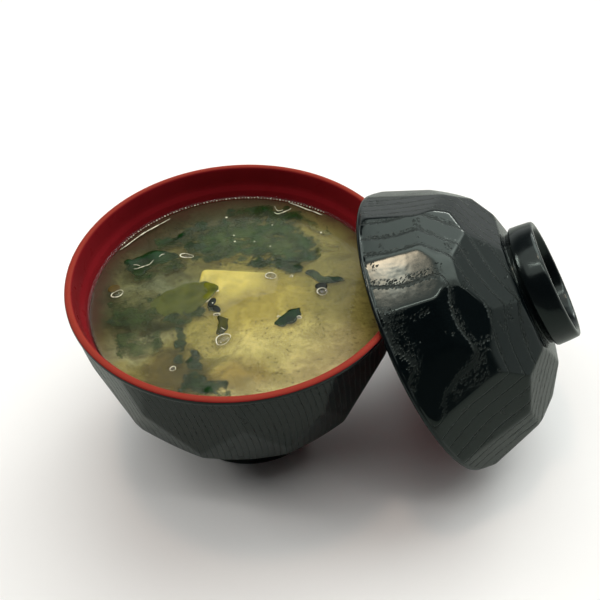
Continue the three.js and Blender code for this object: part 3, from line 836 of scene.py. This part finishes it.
# Each leaf: its near and far edge left to right, the depths of its corners (near left, near
# right, far left, far right), the depth added in the middle, how ruffled it is, its finish, and
# its points along and across.
LEAVES = {
    "wakame_fan": (
        ((-17, 27), (-13, 20.5), (-7, 15.5), (2, 12), (13, 9.6), (23, 8.4), (29.6, 12)),
        ((-16.6, 28.4), (-10.2, 34.6), (1.4, 41), (9, 40.6), (17, 41.6), (26, 32.5), (30.4, 17)),
        (0.6, 0.0, 0.1, 0.3), 1.3, 0.7, MISTY_GREEN, 140, 60),
    "wakame_left": (
        ((-39, 17.2), (-33.8, 12.8), (-30.2, 14.6), (-25, 17.8), (-19.8, 20.2)),
        ((-39.2, 20.2), (-35.6, 21.6), (-31, 23.6), (-26.8, 24.4), (-20.4, 21.8)),
        (0.9, 0.6, 0.1, 0.3), -0.3, 0.35, DEEP_GREEN, 80, 30),
    "wakame_olive": (
        ((-30.2, -2.4), (-25.2, -6.4), (-20.3, -7.3), (-15.3, -6.3), (-12, -4.4), (-7, 1.4)),
        ((-30.2, 2.2), (-23.5, 5), (-18.3, 6.6), (-13.3, 6.3), (-9.8, 5.2), (-7, 2.8)),
        (2.6, -0.3, 2.4, -0.1), -0.2, 0.2, OLIVE_GREEN, 90, 36),
    "wakame_scrap": (
        ((-7.2, -19), (-5.4, -16.8), (-4.7, -12.8)),
        ((-8.9, -18.6), (-8.4, -15), (-7.8, -10.8)),
        (0.2, -0.1, 0.2, 0.0), 0.1, 0.15, BROWN_GREEN, 50, 16),
    "wakame_front": (
        ((9.6, -17.6), (12.5, -18.3), (16.6, -16.7), (18.9, -14.6)),
        ((9.8, -16.4), (12.6, -14.1), (16, -11.6), (18.7, -11.8)),
        (0.4, 0.3, 0.0, -0.1), -0.1, 0.2, DEEP_GREEN, 60, 24),
    "wakame_tip": (
        ((22.4, 5.2), (24.6, 2.6), (28, -1.4), (32.4, -1.6), (36, -0.9)),
        ((23.4, 6.2), (26.4, 6), (28.8, 2.6), (31.6, 1.6), (36, 0.3)),
        (0.4, 0.5, 0.4, 0.5), 0.2, 0.3, DEEP_GREEN, 60, 20),
    "wakame_ribbon": (
        ((-27.6, 27.4), (-24.6, 27.8), (-21, 28.6), (-17.4, 31)),
        ((-27.6, 28.6), (-24.8, 30), (-21.4, 30.6), (-17.9, 32.6)),
        (0.4, 0.1, 0.3, 0.1), 0.0, 0.2, DEEP_GREEN, 60, 16),
}
# Leaves that hang wholly in the broth: edges as above, then the depth at the near and far edge.
BELOW = (
    (((-23.6, -30), (-23.6, -22), (-22.4, -11)), ((-20, -30), (-17.6, -20), (-19, -11)), 0.6, 1.2),
    (((-22, -38), (-19.5, -30), (-17.4, -19)), ((-9.5, -39), (-12.4, -30), (-14.8, -19)), 0.4, 0.8),
    (((-24, -40), (-14, -44), (-4, -45)), ((-21, -33), (-13, -32), (-5, -36)), 0.6, 0.7),
    (((-47, -8), (-38, -14), (-28, -13), (-14, -9)), ((-46, 6), (-36, 6), (-28, 6), (-16, 5)),
     2.3, 1.8),
    (((-42, -22), (-34, -26), (-26, -22)), ((-43, -10), (-34, -8), (-24, -10)), 2.5, 2.1),
    (((-27, -11), (-20, -12), (-11, -10)), ((-26, -6), (-18, -5), (-10, -2.5)), 1.6, 0.9),
    (((-11, -9), (-9.6, -9.4), (-8, -9)), ((-12, -4), (-10.4, -3), (-9, -5)), 0.5, 0.3),
    (((26, 14), (32, 10), (38, 12)), ((28, 26), (34, 24), (38, 20)), 2.9, 2.6),
    (((28, 30), (34, 24), (38, 26)), ((26, 38), (32, 34), (38, 30)), 2.4, 2.0),
    (((-38, 11), (-30, 11), (-18, 15)), ((-36, 18), (-28, 21), (-16, 26)), 2.4, 1.9),
    (((-31, 25), (-20, 24), (-8, 30)), ((-31, 33), (-20, 35), (-6, 43)), 1.3, 0.6),
    (((-8, 38), (8, 36), (32, 30)), ((-8, 44), (14, 46), (34, 37)), 0.8, 0.5),
    (((4, 8), (14, 5), (24, 3)), ((1, 18), (14, 16), (26, 14)), 0.4, 0.5),
    (((-22, 19), (-13, 14), (-3, 10)), ((-19, 31), (-9, 29), (3, 24)), 1.0, 0.9),
)


def make_leaves():
    """Each leaf of LEAVES as a piece, then all of BELOW as one. The cloudy broth scatters light
    round them, so they throw no shadow."""
    for k, (name, row) in enumerate(LEAVES.items()):
        *shape, finish, steps, across = row
        sheet = leaf(*shape, 11 * k + 1, LEAF_FRAY, steps, across)
        piece = joined(f"{name}_leaf", [sheet], [finish])
        piece.visible_shadow = False
        carry_cover(piece, steps, across, 1)
        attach(piece, "root")
        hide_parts(name)
    sheets = [leaf(near, far, (front, front, back, back), BELOW_MID, BELOW_RUFFLE, 200 + 3 * k,
                   BELOW_FRAY, BELOW_STEPS, BELOW_ACROSS)
              for k, (near, far, front, back) in enumerate(BELOW)]
    piece = joined("wakame_below", sheets, [DUSKY_GREEN])
    piece.visible_shadow = False
    carry_cover(piece, BELOW_STEPS, BELOW_ACROSS, len(BELOW))
    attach(piece, "root")


# ---- bubbles, wet glints painted white, scraps and a painted shade ----
def hoop(line, thick, sides=8):
    """Points and quads of a tube round a closed line, p + thick (side cos t + up sin t), as thick
    as given at each of its points."""
    count = len(line)
    ahead = np.roll(line, -1, 0) - np.roll(line, 1, 0)
    side = np.cross(ahead / np.linalg.norm(ahead, axis=1, keepdims=True), (0, 0, 1))
    t = np.linspace(0, 2 * np.pi, sides, endpoint=False)[:, None]
    round_it = side[:, None] * np.cos(t) + np.array((0, 0, 1)) * np.sin(t)
    grid = line[:, None] + thick[:, None, None] * round_it
    i, j = np.meshgrid(np.arange(count), np.arange(sides), indexing="ij")
    after, beside = (i + 1) % count * sides, (j + 1) % sides
    quads = np.stack([i * sides + j, i * sides + beside, after + beside, after + j], -1)
    return grid.reshape(-1, 3), quads.reshape(-1, 4)


def sliver(points, width, height, steps=40):
    """A closed sliver of water along an open line, 1 - v^2 high across it and sqrt(sin(pi u)) wide
    along it, a little uneven."""
    line = even_line(points, steps)
    ahead = np.gradient(line, axis=0)
    length = np.linalg.norm(ahead, axis=1, keepdims=True)
    side = np.stack([ahead[:, 1], -ahead[:, 0]], -1) / length
    half = 0.43 * width * np.sqrt(np.sin(np.pi * np.linspace(0.02, 0.98, steps)))
    half *= 1 + 0.35 * ripples(line[:, 0], line[:, 1], 4, 2)
    v = np.linspace(-1, 1, 7)
    x, y = (line[:, k, None] + side[:, k, None] * (half[:, None] * v) for k in (0, 1))
    foot = np.full_like(x, LEVEL + height)
    return slab(x, y, foot + 0.12 * (1 - v ** 2) + 0.02, foot - 0.04)


def turned_at(x, y, p, q, turn):
    """Points (p, q) turned by some degrees and moved to x, y."""
    a = rad(turn)
    return x + p * math.cos(a) - q * math.sin(a), y + p * math.sin(a) + q * math.cos(a)


def lens(x, y, long, wide, turn, up, down, height=0.0, count=9):
    """A closed oval lens: a square grid drawn to a disc, x = u sqrt(1 - v^2 / 2) and
    y = v sqrt(1 - u^2 / 2), as high as sqrt(1 - x^2 - y^2) times `up` and `down`."""
    u, v = np.meshgrid(np.linspace(-1, 1, count), np.linspace(-1, 1, count), indexing="ij")
    p, q = u * np.sqrt(1 - v ** 2 / 2) * long, v * np.sqrt(1 - u ** 2 / 2) * wide
    dome = np.sqrt(np.clip(1 - (p / long) ** 2 - (q / wide) ** 2, 0, 1))
    middle = LEVEL + height
    return slab(*turned_at(x, y, p, q, turn), middle + 0.02 + up * dome,
                middle - 0.02 - down * dome)


# Bubbles: centre, half length and half width in millimetres, turn in degrees, how unround.
BUBBLES = (
    (-40.8, 4.4, 1.9, 1.5, 30, 0.1), (-17.3, 19.7, 2.2, 1.1, -12, 0.14),
    (11, 4.9, 1.85, 1.45, -8, 0.05), (27.1, -5.3, 1.7, 1.6, 0, 0.03),
    (-7, -21.2, 2.7, 1.8, 24, 0.12), (-22.8, -30.6, 0.85, 0.85, 0, 0.08),
    (-8.3, -10.3, 0.95, 0.55, -5, 0.1), (11.4, -14.5, 0.5, 0.5, 0, 0.1),
    (17.9, -15.7, 0.65, 0.6, 0, 0.1), (17.9, 3.6, 0.6, 0.4, 20, 0.1),
)
# Painted highlights where water creeps up a leaf or the wall: points, width, height over the level.
GLINTS = (
    (((-35.6, 15.8), (-34.5, 15.7), (-33.5, 16.1), (-31.8, 16.7), (-30.2, 17.3), (-29.4, 18.4),
      (-28.7, 19.4)), 0.42, 0.1),
    (((-26.9, 20.7), (-26.1, 21.6), (-25, 21.9)), 0.38, 0.1),
    (((-35.8, 17.9), (-34.6, 17.7), (-33.5, 17)), 0.35, 0.1),
    (((16, 38.7), (17.3, 37.6), (19.3, 38.2), (21.7, 39.3), (22.6, 40)), 0.5, 0.1),
    (((16.6, 42.3), (17.1, 40), (17.9, 39.3), (19.5, 39.6)), 0.4, 0.1),
    (((-7.3, -16.1), (-6.6, -16.9), (-6, -17.4)), 0.3, 0.1),
    (((-8, 0.3), (-7.4, 0.3), (-7, 0.7)), 0.5, 0.1),
    (((-11.5, -4.3), (-10.6, -3.5), (-9.8, -2.5)), 0.35, 0.1),
    (((-40.7, 26.7), (-38.6, 28.6), (-35.2, 32.1), (-32, 35), (-28.7, 37.3), (-22.8, 41.3)),
     0.6, 0.02),
    (((22.4, 43.6), (25.5, 41.2), (28.4, 38.6), (31, 36.6), (33.6, 34.2)), 0.6, 0.03),
)
# Drops painted white as glints: centre and half length.
GLINT_DROPS = ((-1.9, 38.7, 0.5), (0.1, 28, 0.35), (0.2, 24.6, 0.45), (7.2, 23.5, 0.3),
         (31.5, 24.5, 0.4), (12.5, 20, 0.25), (-9.4, -4.9, 0.3), (14.5, 31.5, 0.3))
# Beads along the back wall, white as a painted highlight of the meniscus: how many, from and
# to which azimuth, radius, usual size.
RIM_GLINT_BEADS, RIM_FROM, RIM_TO, RIM_R, RIM_SIZE = 70, 144, 46, 49.45, 0.27
# Crumbs: centre, half length and width, turn, height over and under the surface, dark or brown.
CRUMBS_AND_SHADE = (
    # The first row here is a painted shade: a dark patch beside the bubble at 27.1, -5.3.
    (27.2, -2.7, 2.1, 1.7, -6, 0.15, 0.5, 0), (-9.6, -4.4, 2.1, 1.2, 62, 0.12, 0.5, 0),
    (-8.3, -7.6, 1.9, 1.1, -58, 0.1, 0.5, 0), (-42.0, 7.2, 2.1, 1.8, 20, 0.1, 0.6, 1),
)


def painted_glint():
    """Painted highlight: white on bubble rims, wet lines, drops and beads, broken up along them."""
    made, tree, shader, place = material("painted_glint", Roughness=0.2, Specular_IOR_Level=0.8,
                                         Base_Color=srgb(236, 234, 208))
    feed(tree, shader, Alpha=remap(tree, noise(tree, place, 900.0, 2.0), 0.32, 0.55, 0.45, 1.0))
    return made


def bubble_skin():
    """The thin skin of a bubble: all but clear and glossy, its dark tint a painted shade inside."""
    # The base colour is a painted shade: it darkens the inside of each bubble.
    made, tree, shader, place = material("bubble_skin", Roughness=0.05, Specular_IOR_Level=0.8,
                                         Coat_Weight=1.0, Base_Color=srgb(70, 64, 34))
    feed(tree, shader, Alpha=drifting(tree, place, 400.0, 2.0, 0.12, 0.28))
    return made


def crumb(name, dark, light):
    """A wet scrap of seaweed or of the paste; the dark one also paints a shade beside a bubble."""
    made, tree, shader, place = material(name, Roughness=0.4, Specular_IOR_Level=0.2)
    feed(tree, shader, Base_Color=blend(tree, noise(tree, place, 700.0, 3.0), dark, light))
    return made


def make_bubbles():
    """Bubbles as hoops, r = 1 + odd (cos 2t + 0.5 sin 3t), thick on one side, white as a
    painted highlight, with a skin over each; with them the glints, the drops and the beads at
    the wall, all painted highlights. Then the scraps, the first a painted shade beside a bubble."""
    t = np.linspace(0, 2 * np.pi, 48, endpoint=False)
    parts, slots = [], []
    for k, (x, y, long, wide, turn, odd) in enumerate(BUBBLES):
        far = 1 + odd * (np.cos(2 * t + k) + 0.5 * np.sin(3 * t + 2 * k))
        oval = turned_at(x, y, far * long * np.cos(t), far * wide * np.sin(t), turn)
        line = np.stack([*oval, np.full_like(t, LEVEL + 0.08)], -1)
        thick = 0.075 + 0.03 * min(long, 2)
        thick = thick * (1 + 0.45 * np.sin(t - 2.2 + 0.4 * k)) ** 1.3
        # The hoops are painted white: a painted highlight on each bubble's rim.
        parts += [hoop(line, np.maximum(thick, 0.04)),
                  lens(x, y, long * 0.97, wide * 0.97, turn, up=0.3 * wide, down=0.02)]
        slots += [0, 1]
    parts += [sliver(*row) for row in GLINTS]
    parts += [lens(x, y, size, size * 0.8, 20, up=0.15, down=0.02, height=0.04, count=7)
              for x, y, size in GLINT_DROPS]
    for k, turn in enumerate(np.linspace(RIM_FROM, RIM_TO, RIM_GLINT_BEADS)):
        size = RIM_SIZE * (1 + 0.3 * math.sin(1.9 * k))
        x, y = RIM_R * math.cos(rad(turn)), RIM_R * math.sin(rad(turn))
        parts.append(lens(x, y, size, size, 0, up=0.2, down=0.1, height=0.2, count=5))
    slots += [0] * (len(parts) - len(slots))
    # Slot 0 is the white finish that paints the highlights.
    bubbles = joined("bubbles", parts, [painted_glint(), bubble_skin()], slots)
    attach(bubbles, "root")
    # The dark finish also paints the shade beside a bubble.
    finishes = [crumb("crumb_dark_and_shade", srgb(8, 14, 6), srgb(20, 28, 12)),
                crumb("crumb_brown", srgb(60, 50, 14), srgb(84, 68, 24))]
    bits = joined("crumbs_and_shade", [lens(*row[:7]) for row in CRUMBS_AND_SHADE], finishes,
                  [row[7] for row in CRUMBS_AND_SHADE])
    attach(bits, "root")


broth = make_broth()
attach(broth, "root")
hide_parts("soup")
bed = make_bed()
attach(bed, "root")
curd = make_curd()
curd.visible_shadow = False
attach(curd, "root")
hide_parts("tofu")
make_leaves()
make_bubbles()


# ---- floor, light and camera ----
FLOOR_REACH = 3.0
# Lamps: name, place, target, sizes, power and colour. All but the first make crisp glints.
LAMPS = (
    ("soft_top", (0.0, 0.15, 1.3), (0, 0.15, 0), (2.4, 1.3), 12.9, (1, 0.99, 0.97)),
    ("window", (-0.112, 0.11, 1.1), (-0.112, 0.11, 0), (0.16, 0.17), 3.4, (1, 1, 1)),
    ("lamp_over", (-0.05, -0.16, 1.0), (0, 0, 0), (0.9, 0.03), 1.2, (1, 0.98, 0.95)),
    ("lamp_left", (-1.15, 0.5, 0.95), (0, 0, 0), (0.5, 0.06), 3.2, (1, 0.98, 0.95)),
    ("lamp_right", (0.9, 1.1, 0.9), (0, 0, 0), (0.5, 0.06), 3.2, (1, 0.98, 0.95)),
)
WINDOW_PALE, WINDOW_WARM = (0.9, 0.9, 0.9, 1), (1, 0.7, 0.54, 1)
# Bright patches of the room: the way to one, the cosines where it starts and is full, strength.
ROOM_PANELS = (((0.3, 0.5, 0.81), (0.86, 0.92), 2.4), ((0.84, 0.25, 0.49), (0.86, 0.96), 0.8))
CAMERA_LENS, CAMERA_SENSOR = 42.0, 36.0
CAMERA_BACK, CAMERA_UP = 3.0474 * BOWL_R, 2.8082 * BOWL_R  # from the middle of the bowl's rim
CAMERA_TURN = (43.934, 1.070, -8.009)


def make_floor():
    """A pale floor, painted darker for glossy rays only, which is a painted shade in what glossy
    things mirror, as of a darker table.
    """
    made, tree, shader, place = material("pale_floor", Roughness=0.75)
    shade = blend(tree, noise(tree, place, 6.0, 2.0), (0.86, 0.86, 0.85, 1), (0.88, 0.88, 0.87, 1))
    # Painted shade in reflections: glossy rays see the floor darker than it is.
    mirrored = tree.nodes.new("ShaderNodeLightPath").outputs["Is Glossy Ray"]
    feed(tree, shader, Base_Color=blend(tree, mirrored, shade, (0.37, 0.4, 0.37, 1)))
    corners = np.array([(-1, -1, 0), (1, -1, 0), (1, 1, 0), (-1, 1, 0)]) * FLOOR_REACH
    floor = mesh_object("floor", corners, [(0, 1, 2, 3)], [made])


def area_light(name, spot, target, size, power, colour):
    data = bpy.data.lights.new(name, "AREA")
    data.shape = "RECTANGLE"
    data.size, data.size_y = size
    data.energy = power
    data.color = colour
    lamp = bpy.data.objects.new(name, data)
    lamp.location = spot
    lamp.rotation_euler = (Vector(target) - Vector(spot)).to_track_quat("-Z", "Y").to_euler()
    bpy.context.scene.collection.objects.link(lamp)
    return data


def make_room():
    """A dim room: a paler band low down, less of it on one side, and two bright patches."""
    world = bpy.data.worlds.new("studio")
    world.use_nodes = True
    tree = world.node_tree
    way = tree.nodes.new("ShaderNodeTexCoord").outputs["Generated"]
    low_band = remap(tree, part(tree, way, "Z"), 0.08, 0.5, 0.66, 0.04)
    side = remap(tree, vector_maths(tree, "DOT_PRODUCT", way, (0.66, 0.75, 0)), -0.7, 0.6, 0.1, 1.0)
    room = times(tree, low_band, side)
    for aim, edge, strength in ROOM_PANELS:
        facing = vector_maths(tree, "DOT_PRODUCT", way, aim)
        room = maths(tree, "ADD", room, remap(tree, facing, *edge, 0.0, strength))
    feed(tree, tree.nodes["Background"], Strength=room, Color=(0.96, 1, 0.98, 1))
    bpy.context.scene.world = world


def soften_window(light):
    """Fades the lamp towards its rim and warms it towards one end."""
    light.use_nodes = True
    tree = light.node_tree
    spot = tree.nodes.new("ShaderNodeNewGeometry").outputs["Parametric"]
    out = vector_maths(tree, "MULTIPLY", vector_maths(tree, "SUBTRACT", spot, (0.5, 0.5, 0)),
                       (1, 1, 0))
    along = remap(tree, part(tree, spot, "Y"), 0.05, 0.36)
    feed(tree, tree.nodes["Emission"],
         Strength=remap(tree, vector_maths(tree, "LENGTH", out), 0.12, 0.5, 1.0, 0.0),
         Color=blend(tree, along, WINDOW_PALE, WINDOW_WARM))


def make_camera():
    """A 42 mm lens that looks about 46 degrees down on the table, rolled a little."""
    data = bpy.data.cameras.new("camera")
    data.lens, data.sensor_width = CAMERA_LENS, CAMERA_SENSOR
    camera = bpy.data.objects.new("camera", data)
    camera.location = (BOWL_AXIS[0], BOWL_AXIS[1] - CAMERA_BACK * MM, (BOWL_H + CAMERA_UP) * MM)
    camera.rotation_euler = [rad(turn) for turn in CAMERA_TURN]
    bpy.context.scene.collection.objects.link(camera)
    bpy.context.scene.camera = camera


make_floor()
make_room()
lights = {row[0]: area_light(*row) for row in LAMPS}
soften_window(lights["window"])
make_camera()
bpy.context.scene.view_settings.view_transform = "Standard"
